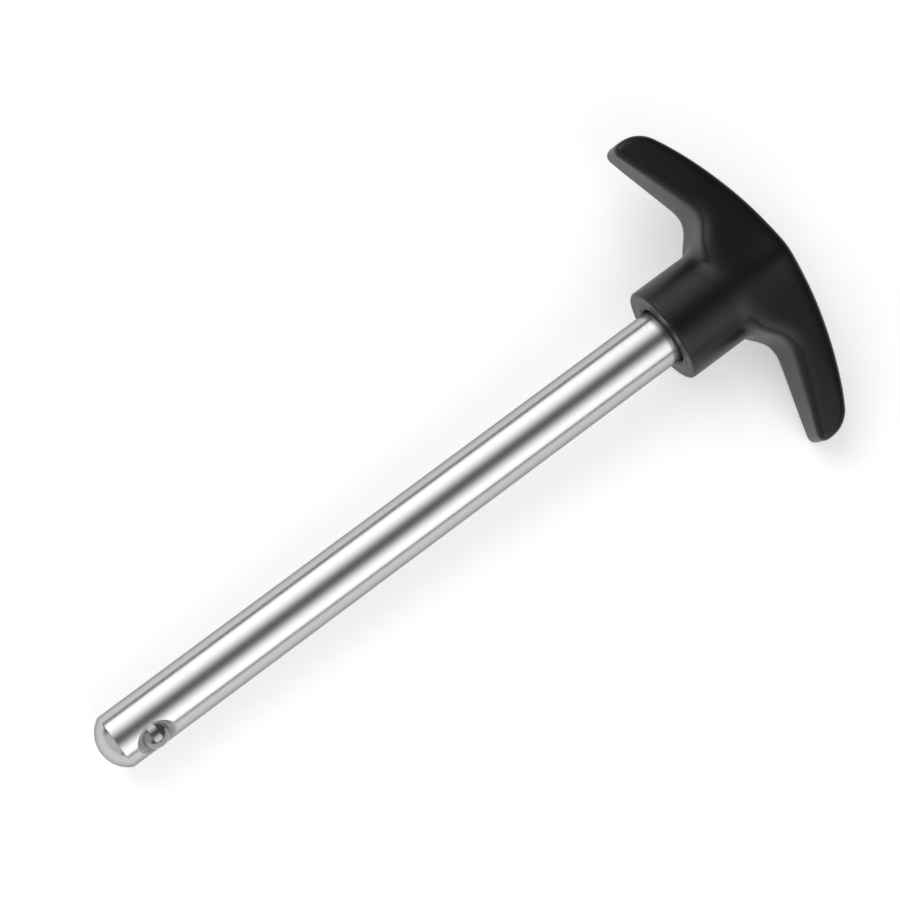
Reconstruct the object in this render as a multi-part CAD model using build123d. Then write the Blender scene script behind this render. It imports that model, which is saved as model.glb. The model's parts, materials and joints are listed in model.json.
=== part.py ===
from build123d import *

import os
from math import acos, atan, atan2, cos, degrees, hypot, radians, sin, sqrt, tan

# Weight stack pin, in millimetres and degrees. Each piece is modelled in the pin's own axes:
# +X runs along the rod from the handle's shoulder to the tip, and the handle lies flat in XY.
# At the end the whole pin is laid on the surface, as it comes to rest.

# Rod: bright steel bar, turned and polished
rod_diameter = 10.0
shank_length = 117.4        # shoulder to the crown of the tip
dome_height = 3.0
dome_edge_round = 0.5
tang_end_wall = 7.8         # plastic behind the tang, the stretch that the handle is moulded around
tang_end_chamfer = 0.8
groove_count = 3
groove_width = 2.0
groove_depth = 0.6
groove_pitch = 4.5

# Detent: a steel ball in a blind cross hole, held in by a lip staked over it
ball_diameter = 5.0
ball_from_tip = 8.8
ball_angle = 40.0           # from square to the handle's face, towards +Y
hole_clearance = 0.05       # between ball and hole wall
hole_floor_wall = 1.6       # steel left between the hole's floor and the far side
lip_reach = 0.1             # how far the lip closes in from the hole's wall
lip_height = 0.3            # from the lip's crest down to the plain hole
lip_rise = 0.2              # from the dish's floor up to the lip's crest
lip_width = 0.25
lip_clearance = 0.02        # between the lip and the ball at rest
mouth_diameter = 7.3        # of the dish that the staking punch leaves
mouth_depth = 0.8

# Detent spring: round wire with both ends ground flat
spring_wire = 0.45
spring_turns = 5.5
spring_clearance = 0.15     # between coil and hole wall
spring_seat_gap = 0.02      # between coil and ball, and between coil and floor

# Handle: black plastic crescent and hub, moulded as one around the rod's tang
hub_diameter = 17.7
hub_edge_round = 0.4
bore_mouth_chamfer = 0.8
body_front = 12.2           # shoulder to the front of the crescent at the hub
body_rise = 0.15            # how far the crescent's middle stands above the hub
handle_depth = 25.3         # shoulder to the crescent's back
back_radius = 60.0
arm_span = 62.0
arm_end_depth = 5.9         # of an arm's end, from its back corner to its front corner
arm_sweep = 18.0            # slope of an arm's front
arm_taper = 10.0            # slope of the crescent's faces, thinner towards the arm ends
web_half_width = 8.0
web_angle = 40.0
web_round = 4.0
front_round = 5.0           # where the crescent's front bends back beside the hub
end_back_round = 5.5
end_front_round = 1.4
edge_round = 1.3
junction_round = 1.0

# Sizes that follow
rod_radius = rod_diameter / 2
ball_radius = ball_diameter / 2
hub_radius = hub_diameter / 2
mouth_radius = mouth_diameter / 2
half_span = arm_span / 2
tang_length = handle_depth - tang_end_wall
over = rod_diameter         # how far a cutting tool runs past what it cuts
near = 0.01                 # two places closer than this are the same
upright = 0.9               # the share of a unit direction along Z that makes it upright

# Rod, turned about X
dome_radius = (rod_radius**2 + dome_height**2) / (2 * dome_height)
dome_start = shank_length - dome_height
dome_mid_angle = atan2(rod_radius, dome_radius - dome_height) / 2
dome_centre = shank_length - dome_radius
with BuildLine(Plane.XZ) as rod_line:
    Polyline(
        (dome_centre + dome_radius, 0),
        (-tang_length, 0),
        (-tang_length, rod_radius - tang_end_chamfer),
        (-tang_length + tang_end_chamfer, rod_radius),
        (dome_start, rod_radius),
    )
    ThreePointArc(
        (dome_start, rod_radius),
        (dome_centre + dome_radius * cos(dome_mid_angle), dome_radius * sin(dome_mid_angle)),
        (shank_length, 0),
    )
rod = revolve(make_face(rod_line.line), Axis.X)
dome_edge = rod.edges().filter_by(GeomType.CIRCLE).filter_by_position(
    Axis.X, dome_start - near, dome_start + near
)
rod = fillet(dome_edge, dome_edge_round)

groove_ring = Cylinder(rod_radius + over, groove_width, rotation=(0, 90, 0)) - Cylinder(
    rod_radius - groove_depth, groove_width, rotation=(0, 90, 0)
)
groove_middle = -tang_length / 2
for index in range(groove_count):
    groove_x = groove_middle + (index - (groove_count - 1) / 2) * groove_pitch
    rod -= Pos(groove_x, 0, 0) * groove_ring

# Cross hole, turned about its own axis: heights are measured from the rod's centreline
hole_radius = ball_radius + hole_clearance
hole_floor = -(rod_radius - hole_floor_wall)
lip_radius = hole_radius - lip_reach
mouth_floor = rod_radius - mouth_depth
lip_top = mouth_floor + lip_rise
ball_height = lip_top - sqrt(ball_radius**2 - (lip_radius - lip_clearance) ** 2)
mouth_slope = mouth_depth / (mouth_radius - lip_radius - lip_width)
with BuildLine(Plane.XZ) as hole_line:
    Polyline(
        (0, hole_floor),
        (hole_radius, hole_floor),
        (hole_radius, lip_top - lip_height),
        (lip_radius, lip_top),
        (lip_radius + lip_width, mouth_floor),
        (mouth_radius + over, rod_radius + over * mouth_slope),
        (0, rod_radius + over * mouth_slope),
        close=True,
    )
hole_axis_place = Pos(shank_length - ball_from_tip, 0, 0) * Rot(-ball_angle, 0, 0)
cross_hole = revolve(make_face(hole_line.line), Axis.Z)
rod -= hole_axis_place * cross_hole

# Ball
detent_ball = hole_axis_place * Pos(0, 0, ball_height) * Sphere(ball_radius)

# Spring
coil_radius = hole_radius - spring_clearance - spring_wire / 2
coil_inside = coil_radius - spring_wire / 2
spring_floor = hole_floor + spring_seat_gap
spring_top = ball_height - sqrt(ball_radius**2 - coil_inside**2) - spring_seat_gap
spring_length = spring_top - spring_floor
spring_pitch = spring_length / spring_turns
coil_path = Helix(spring_pitch, spring_length, coil_radius)
coil_section = Plane(coil_path @ 0, z_dir=coil_path % 0) * Circle(spring_wire / 2)
coil = sweep(coil_section, coil_path, is_frenet=True)
ground_ends = Cylinder(
    hole_radius, spring_length, align=(Align.CENTER, Align.CENTER, Align.MIN)
)
detent_spring = hole_axis_place * Pos(0, 0, spring_floor) * (coil & ground_ends)

# Handle: the crescent seen from above, one arm's corners and then the other's
front_slope = tan(radians(arm_sweep))
web_slope = tan(radians(web_angle))
arm_end_back = handle_depth - back_radius + sqrt(back_radius**2 - half_span**2)
arm_end_front = arm_end_back - arm_end_depth
web_corner_y = (
    arm_end_front + half_span * front_slope - body_front + web_half_width * web_slope
) / (front_slope + web_slope)
web_corner_x = -(body_front + (web_corner_y - web_half_width) * web_slope)
end_back_corner = (-arm_end_back, half_span)
end_front_corner = (-arm_end_front, half_span)
web_corner = (web_corner_x, web_corner_y)
front_corner = (-body_front, web_half_width)
arm_corners = [end_back_corner, end_front_corner, web_corner, front_corner]
other_corners = [(x, -y) for x, y in reversed(arm_corners)]
with BuildSketch() as plan:
    with BuildLine():
        Polyline(*arm_corners, *other_corners)
        ThreePointArc(other_corners[-1], (-handle_depth, 0), arm_corners[0])
    make_face()


def upright_edges(solid, corner):
    """The edges that stand at one corner of the plan, on both arms."""
    x, y = corner
    return [
        edge
        for edge in solid.edges()
        if abs((edge % 0).Z) > upright
        and hypot(edge.center().X - x, abs(edge.center().Y) - y) < near
    ]


def rim_edges(solid):
    """The edges all round the crescent's two broad sides, without the seams inside them."""
    broad = [face for face in solid.faces() if abs(face.normal_at().Z) > upright]
    edges = [edge for face in broad for edge in face.edges()]
    return [edge for edge in edges if sum(edge.is_same(other) for other in edges) == 1]


def junction_edges(solid):
    """The edges where the round of the hub runs into the crescent."""
    hub_sides = [
        face
        for face in solid.faces().filter_by(GeomType.CYLINDER)
        if abs(face.radius - hub_radius) < near
    ]
    edges = [edge for face in hub_sides for edge in face.edges()]
    curved = [edge for edge in edges if edge.geom_type != GeomType.LINE]
    return [edge for edge in curved if edge.center().X < -hub_edge_round - near]


# The crescent seen along the rod: a round middle, and faces that taper straight to both ends
middle_radius = hub_radius + body_rise
taper = radians(arm_taper)
taper_start_y = middle_radius * sin(taper)
taper_start_z = middle_radius * cos(taper)
taper_reach = half_span + over


def half_thickness(y):
    """Half the crescent's thickness at a distance from the middle, out on the taper."""
    return taper_start_z - (y - taper_start_y) * tan(taper)


with BuildSketch(Plane.YZ) as end_view:
    with BuildLine():
        ThreePointArc((-taper_start_y, taper_start_z), (0, middle_radius), (taper_start_y, taper_start_z))
        Polyline(
            (taper_start_y, taper_start_z),
            (taper_reach, half_thickness(taper_reach)),
            (taper_reach, -half_thickness(taper_reach)),
            (taper_start_y, -taper_start_z),
        )
        ThreePointArc((taper_start_y, -taper_start_z), (0, -middle_radius), (-taper_start_y, -taper_start_z))
        Polyline(
            (-taper_start_y, -taper_start_z),
            (-taper_reach, -half_thickness(taper_reach)),
            (-taper_reach, half_thickness(taper_reach)),
            (-taper_start_y, taper_start_z),
        )
    make_face()

crescent = extrude(plan.sketch, amount=middle_radius + over, both=True)
crescent = fillet(upright_edges(crescent, end_back_corner), end_back_round)
crescent = fillet(upright_edges(crescent, end_front_corner), end_front_round)
crescent = fillet(upright_edges(crescent, web_corner), web_round)
crescent = fillet(upright_edges(crescent, front_corner), front_round)
crescent &= extrude(end_view.sketch, amount=-(handle_depth + over))
crescent = fillet(rim_edges(crescent), edge_round)

hub_back = handle_depth - back_radius + sqrt(back_radius**2 - hub_radius**2) - edge_round
hub = Rot(0, -90, 0) * Cylinder(
    hub_radius, hub_back, align=(Align.CENTER, Align.CENTER, Align.MIN)
)
hub = fillet(hub.edges().filter_by(GeomType.CIRCLE).sort_by(Axis.X)[-1], hub_edge_round)
handle = crescent + hub
handle = fillet(junction_edges(handle), junction_round)
handle -= rod
handle -= Pos(-bore_mouth_chamfer / 2, 0, 0) * Rot(0, 90, 0) * Cone(
    rod_radius, rod_radius + bore_mouth_chamfer, bore_mouth_chamfer
)

# Rest: the pin lies on the edge of its tip, the edge of its hub and the front of one arm's end
tip_touch_x = dome_start - dome_edge_round
hub_touch_x = -hub_edge_round
arm_touch_x = -(arm_end_front + edge_round)
arm_touch_y = half_span - end_front_round
arm_touch_z = half_thickness(arm_touch_y)
pitch = atan((hub_radius - rod_radius) / (tip_touch_x - hub_touch_x))
arm_touch_height = hub_radius + (hub_touch_x - arm_touch_x) * tan(pitch)
roll = atan2(arm_touch_y, arm_touch_z) - acos(arm_touch_height / hypot(arm_touch_y, arm_touch_z))
lie = Rot(0, degrees(pitch), 0) * Rot(-degrees(roll), 0, 0)
pieces = {
    "rod": rod,
    "detent_ball": detent_ball,
    "detent_spring": detent_spring,
    "handle": handle,
}
box = Compound(children=[lie * piece for piece in pieces.values()]).bounding_box()
rest = Pos(-box.center().X, -box.center().Y, -box.min.Z) * lie

os.makedirs("parts", exist_ok=True)
for name, piece in pieces.items():
    export_step(rest * piece, f"parts/{name}.step")
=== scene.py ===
import json
from math import atan2, cos, exp, pi, radians, sin, sqrt

import bmesh
import bpy
from mathutils import Matrix, Vector


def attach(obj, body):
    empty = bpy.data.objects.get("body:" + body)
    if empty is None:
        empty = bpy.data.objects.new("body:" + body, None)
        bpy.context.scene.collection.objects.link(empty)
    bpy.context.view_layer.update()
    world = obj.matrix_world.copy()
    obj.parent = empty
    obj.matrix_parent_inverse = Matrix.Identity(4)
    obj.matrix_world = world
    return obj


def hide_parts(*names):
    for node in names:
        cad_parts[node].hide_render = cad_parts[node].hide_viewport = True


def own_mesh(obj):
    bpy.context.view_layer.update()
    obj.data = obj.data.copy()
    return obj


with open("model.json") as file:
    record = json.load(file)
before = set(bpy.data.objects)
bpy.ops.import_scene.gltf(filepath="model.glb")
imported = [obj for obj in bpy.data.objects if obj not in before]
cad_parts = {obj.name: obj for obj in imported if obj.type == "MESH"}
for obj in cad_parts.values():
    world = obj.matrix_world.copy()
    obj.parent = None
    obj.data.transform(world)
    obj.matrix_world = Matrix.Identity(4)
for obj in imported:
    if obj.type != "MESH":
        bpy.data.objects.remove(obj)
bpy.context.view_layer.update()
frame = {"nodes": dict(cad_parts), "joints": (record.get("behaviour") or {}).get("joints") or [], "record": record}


# Rod. A straight round bar of bright steel, 10 mm across, ground and polished, with a shallow
# domed tip. The handle is moulded around its other end, where three turned grooves hold it.
# The cross hole for the detent ball is drilled near the tip, and its edge staked with a punch.
mm = 0.001

# The frame says how the pin lies. From the shoulder, along points to the tip, face_up stands
# square to the crescent, arm_way runs along its arms, and the ball looks out between those two.
mounts = {mount["name"]: mount for mount in frame["record"]["mounts"]}
along = Vector(mounts["shank"]["axis"]).normalized()
grip_middle = Vector(mounts["shank"]["pos_m"])
shoulder = grip_middle + along * (Vector(mounts["shoulder"]["pos_m"]) - grip_middle).dot(along)
ball_out = -Vector(frame["joints"][0]["axis"]).normalized()
ball_turn = radians(40.0)
square_to_ball = along.cross(ball_out)
face_up = ball_out * cos(ball_turn) + square_to_ball * sin(ball_turn)
arm_way = ball_out * sin(ball_turn) - square_to_ball * cos(ball_turn)
as_it_lies = Matrix((along, arm_way, face_up)).transposed().to_4x4()
as_it_lies.translation = shoulder

rod_radius = 5.0 * mm
shank_length = 117.4 * mm
dome_height = 3.0 * mm
dome_edge_round = 0.5 * mm
tang_length = 17.5 * mm
tang_chamfer = 0.8 * mm
groove_count = 3
groove_width = 2.0 * mm
groove_depth = 0.6 * mm
groove_pitch = 4.5 * mm
shank_row = 2.0 * mm
rod_steps = 192
arc_steps = 20
weld = 0.001 * mm


def new_tree(name, inputs):
    """An empty geometry tree with named inputs, and its input and output nodes."""
    tree = bpy.data.node_groups.new(name, "GeometryNodeTree")
    tree.interface.new_socket("Geometry", in_out="INPUT", socket_type="NodeSocketGeometry")
    for label, kind in inputs:
        tree.interface.new_socket(label, in_out="INPUT", socket_type="NodeSocket" + kind)
    tree.interface.new_socket("Geometry", in_out="OUTPUT", socket_type="NodeSocketGeometry")
    return tree, tree.nodes.new("NodeGroupInput").outputs, tree.nodes.new("NodeGroupOutput").inputs


def add(tree, kind, links, **settings):
    """Adds one node with its settings, and fills its inputs with values or with other nodes' outputs."""
    made = tree.nodes.new(kind)
    for name, value in settings.items():
        setattr(made, name, value)
    for place, value in links.items():
        if isinstance(value, bpy.types.NodeSocket):
            tree.links.new(value, made.inputs[place])
        else:
            made.inputs[place].default_value = value
    return made.outputs


def make_plain(piece):
    """Keeps what its modifier makes of a piece as its plain mesh."""
    shown = piece.evaluated_get(bpy.context.evaluated_depsgraph_get())
    mesh = bpy.data.meshes.new_from_object(shown)
    piece.modifiers.clear()
    piece.data = mesh


def settle(piece, tree, values):
    """Runs a geometry tree on a piece with its named values."""
    modifier = piece.modifiers.new(tree.name, "NODES")
    modifier.node_group = tree
    for socket in tree.interface.items_tree:
        if socket.in_out == "INPUT" and socket.name in values:
            modifier[socket.identifier] = values[socket.name]
    make_plain(piece)


def outline_piece(name, points):
    """A piece that is only an outline so far, as places along an axis and distances from it."""
    mesh = bpy.data.meshes.new(name)
    mesh.from_pydata([(x, r, 0.0) for x, r in points], [(i, i + 1) for i in range(len(points) - 1)], [])
    piece = bpy.data.objects.new(name, mesh)
    bpy.context.scene.collection.objects.link(piece)
    return piece


def close_tree(tree, shape, given, result):
    """Ends a geometry tree: its shape is shaded smooth, made real and given its material."""
    smooth = add(tree, "GeometryNodeSetShadeSmooth", {"Geometry": shape})
    real = add(tree, "GeometryNodeRealizeInstances", {"Geometry": smooth[0]})
    coated = add(tree, "GeometryNodeSetMaterial", {"Geometry": real[0], "Material": given["Material"]})
    tree.links.new(coated[0], result["Geometry"])


turning, given, result = new_tree(
    "turning", [("Steps round", "Int"), ("Weld distance", "Float"), ("Material", "Material")]
)
size = add(turning, "GeometryNodeAttributeDomainSize", {0: given["Geometry"]})
columns = add(turning, "FunctionNodeIntegerMath", {0: given["Steps round"], 1: 1}, operation="ADD")
grid = add(turning, "GeometryNodeMeshGrid", {"Vertices X": columns[0], "Vertices Y": size["Point Count"]})
index = add(turning, "GeometryNodeInputIndex", {})
row = add(turning, "FunctionNodeIntegerMath", {0: index[0], 1: size["Point Count"]}, operation="MODULO")
column = add(
    turning, "FunctionNodeIntegerMath", {0: index[0], 1: size["Point Count"]}, operation="DIVIDE_FLOOR"
)
outline_place = add(turning, "GeometryNodeInputPosition", {})
station = add(
    turning, "GeometryNodeSampleIndex",
    {"Geometry": given["Geometry"], "Value": outline_place[0], "Index": row[0]}, data_type="FLOAT_VECTOR",
)
share = add(turning, "ShaderNodeMath", {0: column[0], 1: given["Steps round"]}, operation="DIVIDE")
angle = add(turning, "ShaderNodeMath", {0: share[0], 1: 2 * pi}, operation="MULTIPLY")
turned = add(
    turning, "ShaderNodeVectorRotate",
    {"Vector": station[0], "Center": (0, 0, 0), "Axis": (1, 0, 0), "Angle": angle[0]},
    rotation_type="AXIS_ANGLE",
)
placed = add(turning, "GeometryNodeSetPosition", {"Geometry": grid["Mesh"], "Position": turned[0]})
welded = add(
    turning, "GeometryNodeMergeByDistance", {"Geometry": placed[0], "Distance": given["Weld distance"]}
)
close_tree(turning, welded[0], given, result)


def outward(mesh, place):
    """Lays a finished mesh where the piece lies, with its faces turned outwards."""
    work = bmesh.new()
    work.from_mesh(mesh)
    bmesh.ops.recalc_face_normals(work, faces=work.faces)
    bmesh.ops.transform(work, matrix=place, verts=work.verts)
    work.to_mesh(mesh)
    work.free()


def linear(hex_colour):
    """An sRGB hex colour as the linear values that a shader takes."""
    parts = [int(hex_colour[i:i + 2], 16) / 255 for i in (1, 3, 5)]
    straight = [part / 12.92 if part <= 0.04045 else ((part + 0.055) / 1.055) ** 2.4 for part in parts]
    return (*straight, 1.0)


def new_material(name, **values):
    """A material with its shader's own settings, given by their names with _ for a space."""
    material = bpy.data.materials.new(name)
    material.use_nodes = True
    shader = material.node_tree.nodes["Principled BSDF"]
    for label, value in values.items():
        shader.inputs[label.replace("_", " ")].default_value = value
    return material, material.node_tree, shader.inputs


# Bright steel, centreless ground and polished: clear, slightly drawn-out reflections, with fine
# lines round the bar that only just dull them. Real lines lie about 0.02 mm apart and are drawn
# ten times coarser, so that they show.
line_spacing = 0.2 * mm
line_length = 10.0 * mm
polished_steel, tree, shader = new_material(
    "polished_bright_steel", Base_Color=linear("#bfbfbe"), Metallic=1.0, Roughness=0.24,
    Specular_Tint=linear("#b4b4b4"),
)
where = add(tree, "ShaderNodeTexCoord", {})
on_rod = add(
    tree, "ShaderNodeMapping", {0: where["Object"], "Rotation": as_it_lies.inverted().to_euler()}
)
line_scale = add(
    tree, "ShaderNodeMapping",
    {0: on_rod[0], "Scale": (1 / line_spacing, 1 / line_length, 1 / line_length)},
)
lines = add(tree, "ShaderNodeTexNoise", {"Vector": line_scale[0], "Scale": 1.0, "Detail": 3.0})
gloss = add(
    tree, "ShaderNodeMapRange",
    {"Value": lines["Fac"], "From Min": 0.3, "From Max": 0.7, "To Min": 0.21, "To Max": 0.26},
)
tree.links.new(gloss[0], shader["Roughness"])

# Steel struck by the staking punch: the same bar, but with a dull, slightly torn face. The torn
# grains are about 0.1 mm wide and are drawn four times coarser, so that they show.
torn_grain = 0.4 * mm
torn_height = 0.01 * mm
struck_steel, tree, shader = new_material(
    "struck_steel", Base_Color=linear("#bcbcbc"), Metallic=1.0, Roughness=0.5
)
where = add(tree, "ShaderNodeTexCoord", {})
grain = add(
    tree, "ShaderNodeTexNoise", {"Vector": where["Object"], "Scale": 1 / torn_grain, "Detail": 3.0}
)
dents = add(tree, "ShaderNodeBump", {"Height": grain["Fac"], "Strength": 0.25, "Distance": torn_height})
tree.links.new(dents[0], shader["Normal"])


def spread(start, end, steps):
    """Evenly spaced values from start to end, both included."""
    return [start + (end - start) * i / steps for i in range(steps + 1)]


dome_radius = (rod_radius ** 2 + dome_height ** 2) / (2 * dome_height)
dome_centre = shank_length - dome_radius
edge_centre_r = rod_radius - dome_edge_round
edge_centre_x = dome_centre + sqrt((dome_radius - dome_edge_round) ** 2 - edge_centre_r ** 2)
edge_lean = atan2(edge_centre_r, edge_centre_x - dome_centre)
bar = [
    (-tang_length, 0.0),
    (-tang_length, rod_radius - tang_chamfer),
    (tang_chamfer - tang_length, rod_radius),
]
for i in range(groove_count):
    groove_x = -tang_length / 2 + (i - (groove_count - 1) / 2) * groove_pitch
    start, end = groove_x - groove_width / 2, groove_x + groove_width / 2
    bar += [(start, rod_radius), (start, rod_radius - groove_depth)]
    bar += [(end, rod_radius - groove_depth), (end, rod_radius)]
shank_rows = round(edge_centre_x / shank_row)
bar += [(x, rod_radius) for x in spread(0.0, edge_centre_x, shank_rows)[:-1]]
bar += [
    (edge_centre_x + dome_edge_round * cos(lean), edge_centre_r + dome_edge_round * sin(lean))
    for lean in spread(pi / 2, edge_lean, arc_steps)
]
bar += [
    (dome_centre + dome_radius * cos(lean), dome_radius * sin(lean))
    for lean in spread(edge_lean, 0.0, 2 * arc_steps)[1:]
]
rod = outline_piece("turned_rod", bar)
settle(rod, turning, {"Steps round": rod_steps, "Weld distance": weld, "Material": polished_steel})
outward(rod.data, as_it_lies)

# The cross hole: a flat-bottomed bore, the lip that holds the ball, and the punched dish around it.
# The cutter goes on past the bar's surface, so that the dish is cut clean.
ball_radius = 2.5 * mm
ball_from_tip = 8.8 * mm
hole_slack = 0.05 * mm
hole_end_wall = 1.6 * mm
hole_steps = 128
lip_overlap = 0.1 * mm
lip_curl = 0.3 * mm
lip_height = 0.2 * mm
lip_width = 0.25 * mm
mouth_radius = 3.65 * mm
mouth_depth = 0.8 * mm
past_the_bar = 4.0 * mm
hole_radius = ball_radius + hole_slack
hole_floor = hole_end_wall - rod_radius
lip_radius = hole_radius - lip_overlap
lip_foot = lip_radius + lip_width
mouth_floor = rod_radius - mouth_depth
lip_top = mouth_floor + lip_height
cutter_top = rod_radius + past_the_bar * mouth_depth / (mouth_radius - lip_foot)
hole = outline_piece("hole_cutter", [
    (hole_floor, 0.0),
    (hole_floor, hole_radius),
    (lip_top - lip_curl, hole_radius),
    (lip_top, lip_radius),
    (mouth_floor, lip_foot),
    (cutter_top, mouth_radius + past_the_bar),
    (cutter_top, 0.0),
])
settle(hole, turning, {"Steps round": hole_steps, "Weld distance": weld, "Material": struck_steel})
to_ball_axis = Matrix((ball_out, square_to_ball, along)).transposed().to_4x4()
to_ball_axis.translation = shoulder + along * (shank_length - ball_from_tip)
outward(hole.data, to_ball_axis)
cut = rod.modifiers.new("cross_hole", "BOOLEAN")
cut.operation = "DIFFERENCE"
cut.solver = "EXACT"
cut.object = hole
cut.material_mode = "TRANSFER"
make_plain(rod)
bpy.data.objects.remove(hole)

# The shank is shaded as a true cylinder, so that reflections run straight past the cross hole.
least_corner = radians(25.0)
last_row_slack = 0.01 * mm
rod.data.set_sharp_from_angle(angle=least_corner)
normals = [corner.vector.copy() for corner in rod.data.corner_normals]
for face in rod.data.polygons:
    reach = (face.center - shoulder).dot(along)
    on_shank = 0 < reach < edge_centre_x + last_row_slack
    if on_shank and rod.data.materials[face.material_index] is polished_steel:
        for loop in face.loop_indices:
            arm = rod.data.vertices[rod.data.loops[loop].vertex_index].co - shoulder
            normals[loop] = (arm - along * arm.dot(along)).normalized()
rod.data.normals_split_custom_set(normals)
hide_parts("rod")
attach(rod, "pin")


# Detent ball. A stock 5 mm bearing ball of hardened steel, lapped to a mirror, held in the
# cross hole by the staked lip and pushed out by the spring.
ball_rows = 48
ball_steps = 96
lip_slack = 0.02 * mm
ball_height = lip_top - sqrt(ball_radius ** 2 - (lip_radius - lip_slack) ** 2)

# Hardened bearing steel, lapped: a dark mirror with small bright highlights. Faint scuffs, about
# 0.8 mm long, blur them a little.
scuff_length = 0.8 * mm
lapped_steel, tree, shader = new_material(
    "lapped_bearing_steel", Base_Color=linear("#8e8f92"), Metallic=1.0, Roughness=0.2
)
where = add(tree, "ShaderNodeTexCoord", {})
scuffs = add(
    tree, "ShaderNodeTexNoise", {"Vector": where["Object"], "Scale": 1 / scuff_length, "Detail": 4.0}
)
gloss = add(
    tree, "ShaderNodeMapRange",
    {"Value": scuffs["Fac"], "From Min": 0.4, "From Max": 0.75, "To Min": 0.18, "To Max": 0.27},
)
tree.links.new(gloss[0], shader["Roughness"])
ball = outline_piece("steel_ball", [
    (ball_height - ball_radius * cos(lean), ball_radius * sin(lean)) for lean in spread(0.0, pi, ball_rows)
])
settle(ball, turning, {"Steps round": ball_steps, "Weld distance": weld, "Material": lapped_steel})
outward(ball.data, to_ball_axis)
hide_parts("detent_ball")
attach(ball, "ball")


# Detent spring. A compression spring of hard-drawn wire with both ends ground flat, shut in
# the cross hole under the ball, which squeezes it when it is pressed in.
wire = 0.45 * mm
spring_turns = 5.5
steps_per_turn = 40
wire_steps = 16
coil_clearance = 0.15 * mm
coil_radius = hole_radius - coil_clearance - wire / 2
seat_gap = 0.02 * mm
spring_floor = hole_floor + seat_gap
spring_top = ball_height - sqrt(ball_radius ** 2 - (coil_radius - wire / 2) ** 2) - seat_gap
spring_length = spring_top - spring_floor

# Wire drawn through a die: grey and satin, with streaks about 0.4 mm long in its gloss.
streak_length = 0.4 * mm
drawn_wire, tree, shader = new_material(
    "hard_drawn_spring_wire", Base_Color=linear("#9b9ca0"), Metallic=1.0, Roughness=0.35
)
where = add(tree, "ShaderNodeTexCoord", {})
streaks = add(
    tree, "ShaderNodeTexNoise", {"Vector": where["Object"], "Scale": 1 / streak_length, "Detail": 2.0}
)
gloss = add(tree, "ShaderNodeMapRange", {"Value": streaks["Fac"], "To Min": 0.28, "To Max": 0.45})
tree.links.new(gloss[0], shader["Roughness"])

coiling, given, result = new_tree("coiling", [
    ("Turns", "Float"), ("Coil radius", "Float"), ("Wire", "Float"), ("Length", "Float"),
    ("Steps per turn", "Int"), ("Wire steps", "Int"), ("Material", "Material"),
])
spiral = add(coiling, "GeometryNodeCurveSpiral", {
    "Resolution": given["Steps per turn"], "Rotations": given["Turns"], "Start Radius": given["Coil radius"],
    "End Radius": given["Coil radius"], "Height": given["Length"],
})
wire_radius = add(coiling, "ShaderNodeMath", {0: given["Wire"], 1: 0.5}, operation="MULTIPLY")
section = add(
    coiling, "GeometryNodeCurvePrimitiveCircle", {"Resolution": given["Wire steps"], "Radius": wire_radius[0]}
)
swept = add(
    coiling, "GeometryNodeCurveToMesh",
    {"Curve": spiral[0], "Profile Curve": section[0], "Fill Caps": True},
)
place = add(coiling, "GeometryNodeInputPosition", {})
parts = add(coiling, "ShaderNodeSeparateXYZ", {0: place[0]})
above = add(coiling, "ShaderNodeMath", {0: parts["Z"], 1: 0.0}, operation="MAXIMUM")
below = add(coiling, "ShaderNodeMath", {0: above[0], 1: given["Length"]}, operation="MINIMUM")
ground = add(coiling, "ShaderNodeCombineXYZ", {"X": parts["X"], "Y": parts["Y"], "Z": below[0]})
flat_ends = add(coiling, "GeometryNodeSetPosition", {"Geometry": swept[0], "Position": ground[0]})
close_tree(coiling, flat_ends[0], given, result)

spring = outline_piece("coil_spring", [(0.0, 0.0), (spring_length, 0.0)])
settle(spring, coiling, {
    "Turns": spring_turns, "Coil radius": coil_radius, "Wire": wire, "Length": spring_length,
    "Steps per turn": steps_per_turn, "Wire steps": wire_steps, "Material": drawn_wire,
})
spring_axis = Matrix((along, ball_out.cross(along), ball_out)).transposed().to_4x4()
spring_axis.translation = to_ball_axis.translation + ball_out * spring_floor
outward(spring.data, spring_axis)
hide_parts("detent_spring")
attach(spring, "pin")
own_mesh(spring)


# Handle. A crescent and a round hub moulded as one in black glass-filled nylon around the end
# of the rod. It starts from the solid's own mesh, which is made even and then softened where
# the moulding's walls flow into each other.
handle = bpy.data.objects.new("moulded_handle", frame["nodes"]["handle"].data.copy())
bpy.context.scene.collection.objects.link(handle)
work = bmesh.new()
work.from_mesh(handle.data)
bmesh.ops.remove_doubles(work, verts=work.verts, dist=weld)
work.to_mesh(handle.data)
work.free()


def settle_modifier(piece, kind, **settings):
    """Runs one plain modifier on a piece."""
    modifier = piece.modifiers.new(kind.lower(), kind)
    for name, value in settings.items():
        setattr(modifier, name, value)
    make_plain(piece)


def ramp(value, start, end):
    """How far a value has come on its way from start to end, from 0 to 1."""
    return min(max((value - start) / (end - start), 0.0), 1.0)


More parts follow.
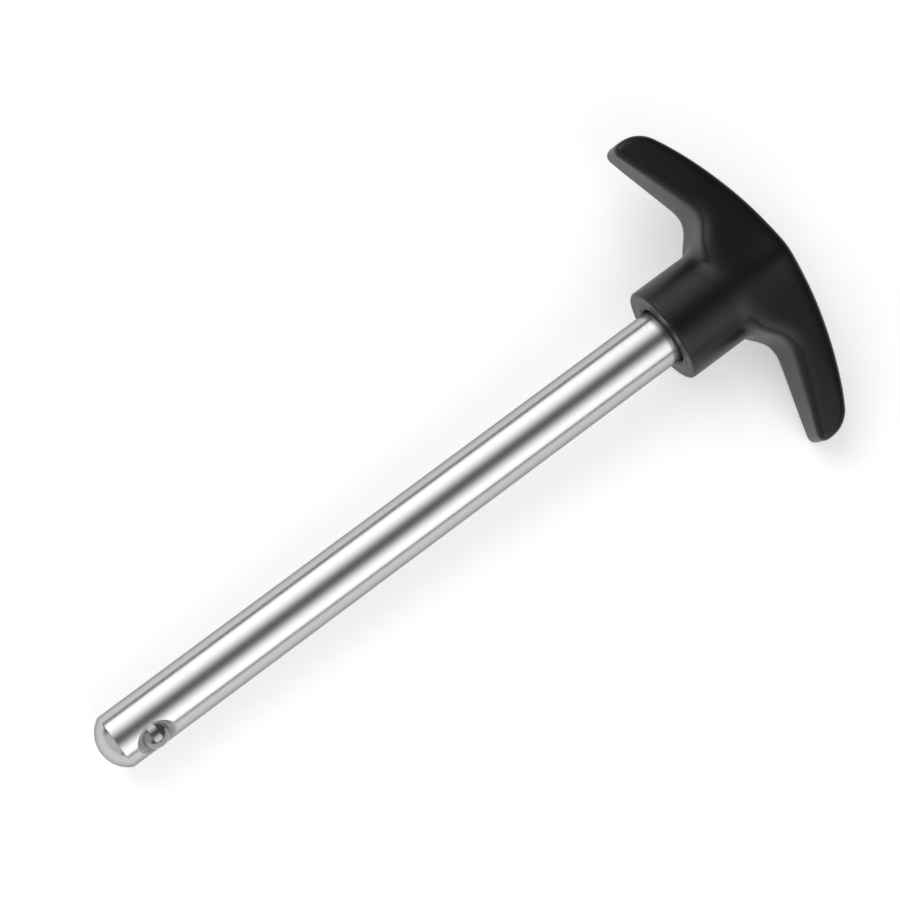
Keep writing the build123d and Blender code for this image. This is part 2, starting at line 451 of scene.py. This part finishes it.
# A light smoothing takes the steps out of the even mesh, less so at the bore's mouth. A strong one
# behind the hub's front lets the web flow into the crescent, and fades out along the arms.
mesh_step = 0.25 * mm
bore_zone = 5.9 * mm
face_zone = 2.0 * mm
face_share = 0.3
hub_side = 8.9 * mm
hub_blend = 1.5 * mm
soft_front = 9.1 * mm
web_lead = 3.6 * mm
soft_blend = 3.0 * mm
soft_to = 16.0 * mm
sharp_from = 26.0 * mm
settle_modifier(handle, "REMESH", mode="VOXEL", voxel_size=mesh_step)
soft = handle.vertex_groups.new(name="soft")
even = handle.vertex_groups.new(name="even")
for vertex in handle.data.vertices:
    arm = vertex.co - shoulder
    depth = -arm.dot(along)
    out = (arm + along * depth).length
    clear_of_bore = out > bore_zone
    even.add([vertex.index], 1.0 if clear_of_bore or depth > face_zone else face_share, "REPLACE")
    soft_from = soft_front - web_lead * ramp(out, hub_side, hub_side + hub_blend)
    share = ramp(depth, soft_from, soft_from + soft_blend) if clear_of_bore else 0.0
    share *= 1.0 - ramp(abs(arm.dot(arm_way)), soft_to, sharp_from)
    soft.add([vertex.index], share, "REPLACE")
settle_modifier(handle, "SMOOTH", factor=0.5, iterations=6, vertex_group="even")
settle_modifier(handle, "SMOOTH", factor=0.5, iterations=150, vertex_group="soft")

# The back half of the crescent is slightly crowned across its middle, above and below.
crown_drop = 0.45 * mm
crown_width = 3.5 * mm
crown_from = 14.0 * mm
crown_full = 24.0 * mm
half_thickness = 9.0 * mm
for vertex in handle.data.vertices:
    arm = vertex.co - shoulder
    share = ramp(-arm.dot(along), crown_from, crown_full)
    share *= share * (3.0 - 2.0 * share)
    fall = 1.0 - exp(-(arm.dot(arm_way) / crown_width) ** 2)
    vertex.co -= face_up * crown_drop * share * fall * arm.dot(face_up) / half_thickness
handle.data.shade_smooth()
handle.vertex_groups.clear()

# Glass-filled nylon from a polished mould: a deep black with a soft sheen, which varies a little
# over patches of about 8 mm. Its IOR is set under nylon's 1.53 to match its weak highlights. The
# skin's grain is about 0.05 mm and is drawn five times coarser, so that it shows.
skin_grain = 0.25 * mm
skin_height = 0.01 * mm
patch_size = 8.0 * mm
moulded_nylon, tree, shader = new_material(
    "moulded_black_nylon", Base_Color=linear("#050505"), Roughness=0.37, IOR=1.42
)
where = add(tree, "ShaderNodeTexCoord", {})
skin = add(
    tree, "ShaderNodeTexNoise", {"Vector": where["Object"], "Scale": 1 / skin_grain, "Detail": 2.0}
)
grain = add(tree, "ShaderNodeBump", {"Height": skin["Fac"], "Strength": 0.3, "Distance": skin_height})
patches = add(
    tree, "ShaderNodeTexNoise", {"Vector": where["Object"], "Scale": 1 / patch_size, "Detail": 4.0}
)
gloss = add(tree, "ShaderNodeMapRange", {"Value": patches["Fac"], "To Min": 0.3, "To Max": 0.42})
tree.links.new(gloss[0], shader["Roughness"])

# Around the rod the moulding ends in a rough, slightly torn edge, with flecks about 1 mm wide.
fleck_size = 1.0 * mm
fleck_height = 0.5 * mm
torn_out_to = 6.9 * mm
torn_full_at = 5.4 * mm
torn_in_from = -1.0 * mm
torn_in_to = -0.3 * mm
to_hub = as_it_lies.inverted()
on_hub = add(
    tree, "ShaderNodeMapping",
    {0: where["Object"], "Location": to_hub.translation, "Rotation": to_hub.to_euler()},
)
from_axis = add(tree, "ShaderNodeMapping", {0: on_hub[0], "Scale": (0.0, 1.0, 1.0)})
from_rod = add(tree, "ShaderNodeVectorMath", {0: from_axis[0]}, operation="LENGTH")
at_mouth = add(
    tree, "ShaderNodeMapRange",
    {"Value": from_rod["Value"], "From Min": torn_out_to, "From Max": torn_full_at},
)
hub_parts = add(tree, "ShaderNodeSeparateXYZ", {0: on_hub[0]})
at_face = add(
    tree, "ShaderNodeMapRange",
    {"Value": hub_parts["X"], "From Min": torn_in_from, "From Max": torn_in_to},
)
flecks = add(
    tree, "ShaderNodeTexNoise", {"Vector": where["Object"], "Scale": 1 / fleck_size, "Detail": 3.0}
)
rough_mouth = add(tree, "ShaderNodeMath", {0: at_mouth[0], 1: at_face[0]}, operation="MULTIPLY")
torn = add(tree, "ShaderNodeMath", {0: flecks["Fac"], 1: rough_mouth[0]}, operation="MULTIPLY")
torn_edge = add(
    tree, "ShaderNodeBump",
    {"Height": torn[0], "Strength": 1.0, "Distance": fleck_height, "Normal": grain[0]},
)
tree.links.new(torn_edge[0], shader["Normal"])
handle.data.materials.clear()
handle.data.materials.append(moulded_nylon)
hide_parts("handle")
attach(handle, "pin")


# Studio. A plain white table, a large softbox on each side of the pin and a third beyond its tip,
# and the camera above the tip's end, at the photograph's viewing angle. Its sizes are in metres.
half_table = 15.0
corners = [(-half_table, -half_table, 0), (half_table, -half_table, 0)]
corners += [(half_table, half_table, 0), (-half_table, half_table, 0)]
table_mesh = bpy.data.meshes.new("table")
table_mesh.from_pydata(corners, [], [(0, 1, 2, 3)])
table = bpy.data.objects.new("table", table_mesh)
bpy.context.scene.collection.objects.link(table)

# Matt white paper: pale, without a sheen, with a glow of its own: painted light for a white room's light.
# Some way off the pin its colour and glow are painted greyer, a painted shade, so that the rod's sides
# reflect some grey. Further out a painted glow takes over from the softboxes, whose light doesn't reach that far.
paper_colour = linear("#fafafa")
paper_glow = 0.36
grey_from = 0.12
grey_full_at = 0.4
grey_share = 0.55
glow_from = 0.2
glow_full_at = 0.7
glow_added = 0.62
white_paper, tree, shader = new_material(
    "white_paper", Base_Color=paper_colour, Roughness=0.9, Specular_IOR_Level=0.1,
    Emission_Color=linear("#ffffff"), Emission_Strength=paper_glow,
)
where = add(tree, "ShaderNodeTexCoord", {})
reach = add(tree, "ShaderNodeVectorMath", {0: where["Object"]}, operation="LENGTH")
# Painted shade: colour and glow fall from full near the pin to grey_share of it further off.
painted_shade_falloff = add(
    tree, "ShaderNodeMapRange",
    {
        "Value": reach["Value"], "From Min": grey_from, "From Max": grey_full_at,
        "To Min": 1.0, "To Max": grey_share,
    },
    interpolation_type="SMOOTHSTEP",
)
painted_shade_colour = add(tree, "ShaderNodeVectorMath", {0: paper_colour[:3], "Scale": painted_shade_falloff[0]}, operation="SCALE")
tree.links.new(painted_shade_colour[0], shader["Base Color"])
near_glow = add(tree, "ShaderNodeMath", {0: painted_shade_falloff[0], 1: paper_glow}, operation="MULTIPLY")
# Painted light: far off the pin the glow grows, where the softboxes' light doesn't reach.
far_glow = add(
    tree, "ShaderNodeMapRange",
    {
        "Value": reach["Value"], "From Min": glow_from, "From Max": glow_full_at,
        "To Min": 0.0, "To Max": glow_added,
    },
    interpolation_type="SMOOTHSTEP",
)
whole_glow = add(tree, "ShaderNodeMath", {0: near_glow[0], 1: far_glow[0]}, operation="ADD")
tree.links.new(whole_glow[0], shader["Emission Strength"])
table_mesh.materials.append(white_paper)

dim_strip = 0.02
dim_level = 0.02


def softbox(name, place, turn, length, width, power, full_from=None):
    """A flat light, unseen by the camera. It can fade from the share full_from of its width to its edge."""
    data = bpy.data.lights.new(name, "AREA")
    data.shape = "RECTANGLE"
    data.size = length
    data.size_y = width
    data.energy = power
    if full_from:
        data.use_nodes = True
        cloth = data.node_tree
        spot = add(cloth, "ShaderNodeNewGeometry", {})
        split = add(cloth, "ShaderNodeSeparateXYZ", {0: spot["Parametric"]})
        level = add(
            cloth, "ShaderNodeMapRange",
            {"Value": split["Y"], "From Min": dim_strip, "From Max": full_from, "To Min": dim_level},
            interpolation_type="SMOOTHSTEP",
        )
        cloth.links.new(level[0], cloth.nodes["Emission"].inputs["Strength"])
    lamp = bpy.data.objects.new(name, data)
    lamp.location = place
    lamp.rotation_euler = turn
    lamp.visible_camera = False
    bpy.context.scene.collection.objects.link(lamp)


box_ahead = 0.05
box_distance = 0.5
box_length = 0.56
watts_per_area = 6.1
for side, rise, width, full_from in ((-1, radians(54.0), 0.754, 0.66), (1, radians(44.8), 0.655, 0.69)):
    softbox(
        "softbox",
        (box_ahead, side * box_distance * cos(rise), box_distance * sin(rise)),
        (rise - pi / 2, 0.0, 0.0 if side > 0 else pi),
        box_length,
        width,
        watts_per_area * box_length * width,
        full_from,
    )
softbox(
    "end_softbox", place=(0.75, 0.04, 0.33), turn=(0.0, radians(66.0), 0.0), length=0.8, width=1.0, power=1.6
)

room_grey = 0.16
world = bpy.data.worlds.new("studio")
world.use_nodes = True
world.node_tree.nodes["Background"].inputs[0].default_value = (room_grey, room_grey, room_grey, 1.0)
bpy.context.scene.world = world

# The camera stands 0.45 m above the table, turned so that the pin lies as in the photograph.
eye = Vector((0.08937, 0.05408, 0.45))
aim = Vector((-0.00485, -0.0059, 0.008))
picture_turn = radians(143.58)
back = (eye - aim).normalized()
right = Vector((cos(picture_turn), sin(picture_turn), 0.0))
right = (right - back * right.dot(back)).normalized()
lens = bpy.data.cameras.new("camera")
lens.sensor_width = 36.0
lens.lens = 108.62
camera = bpy.data.objects.new("camera", lens)
camera.matrix_world = Matrix((right, back.cross(right), back)).transposed().to_4x4()
camera.location = eye
bpy.context.scene.collection.objects.link(camera)
bpy.context.scene.camera = camera
bpy.context.scene.view_settings.view_transform = "Standard"

bpy.context.view_layer.update()
